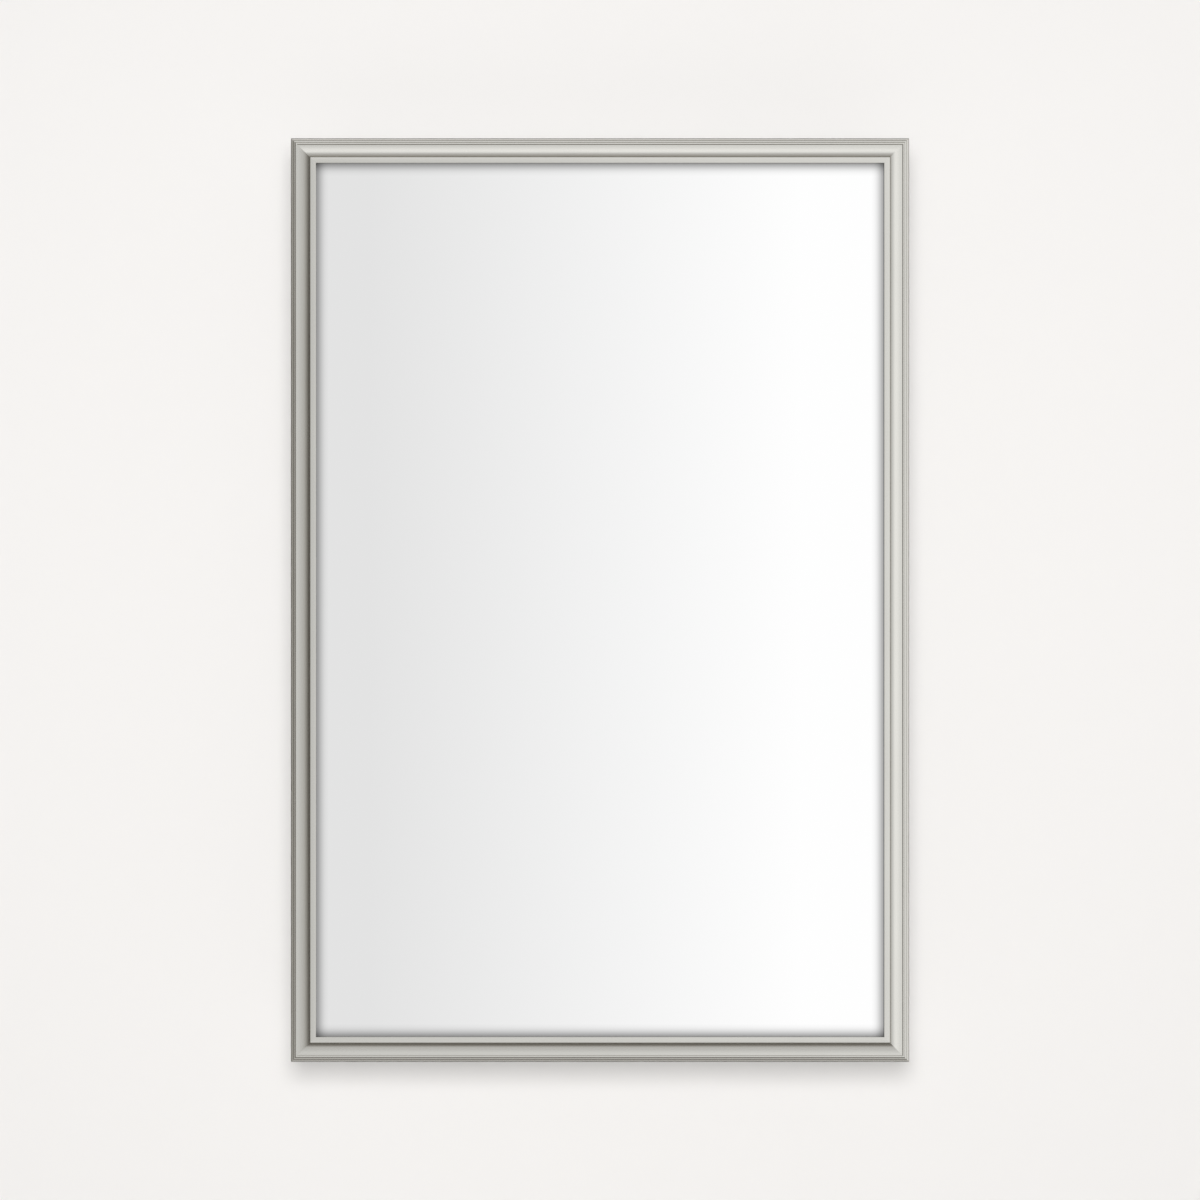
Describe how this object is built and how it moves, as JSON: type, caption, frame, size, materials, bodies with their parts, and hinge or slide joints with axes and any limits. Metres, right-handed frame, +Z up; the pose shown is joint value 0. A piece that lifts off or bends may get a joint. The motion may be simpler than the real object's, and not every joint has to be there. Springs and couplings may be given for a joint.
{
  "type": "medicine cabinet with mirror",
  "caption": "Wall-hung metal medicine cabinet with glass shelves and one mirror door in a mitred satin-nickel moulding.",
  "frame": {"origin": "middle of the back face, on the wall", "axes": "+Z up, the door faces -Y, +Y points into the wall, +X to the right as seen from the front"},
  "size_m": [0.51, 0.1175, 0.762],
  "materials": {
    "aluminium": "satin",
    "board": "matt white faced",
    "bumper_rubber": "translucent",
    "clear_plastic": "clear",
    "foam": "matt",
    "gasket": "matt",
    "latch_plastic": "satin",
    "magnet": "plated",
    "mirror": "polished",
    "nickel": "satin",
    "rail_plastic": "satin",
    "shelf_glass": "clear",
    "steel": "satin",
    "zinc": "cast"
  },
  "bodies": {
    "cabinet": {"side_panel_left": "aluminium", "side_panel_right": "aluminium", "top_panel": "aluminium", "bottom_panel": "aluminium", "back_panel": "aluminium", "panel_rivets": "steel", "back_rivets": "steel", "back_mirror": "mirror", "back_mirror_tape": "foam", "shelf_rails_left": "rail_plastic", "shelf_rails_right": "rail_plastic", "shelf_pads": "clear_plastic", "door_bumpers": "bumper_rubber", "shelf_low": "shelf_glass", "shelf_middle": "shelf_glass", "shelf_high": "shelf_glass", "shelf_supports_low": "nickel", "shelf_supports_middle": "nickel", "shelf_supports_high": "nickel", "hinge_leaf_body": "steel", "hinge_pin": "steel", "hinge_rivets": "steel", "latch_housing": "latch_plastic", "latch_screws": "steel"},
    "door": {"frame_left": "nickel", "frame_right": "nickel", "frame_top": "nickel", "frame_bottom": "nickel", "corner_keys": "zinc", "corner_screws": "steel", "door_mirror": "mirror", "mirror_gasket": "gasket", "mirror_tape": "foam", "door_board": "board", "board_screws": "steel", "inner_mirror": "mirror", "inner_mirror_tape": "foam", "hinge_leaf_door": "steel", "hinge_screws": "steel", "strike_plate": "steel", "strike_screws": "steel"},
    "plunger": {"latch_plunger": "latch_plastic", "latch_magnet": "magnet", "latch_spring": "steel"}
  },
  "joints": [
    {"name": "door_hinge", "type": "hinge", "parent": "cabinet", "child": "door", "pos_m": [-0.241, -0.0912, 0], "axis": [0, 0, -1], "range_deg": [0, 110]},
    {"name": "latch_press", "type": "slide", "parent": "cabinet", "child": "plunger", "axis": [0, 1, 0], "range_m": [0, 0.003], "stiffness_N_per_m": 150, "springref_m": -0.01}
  ]
}
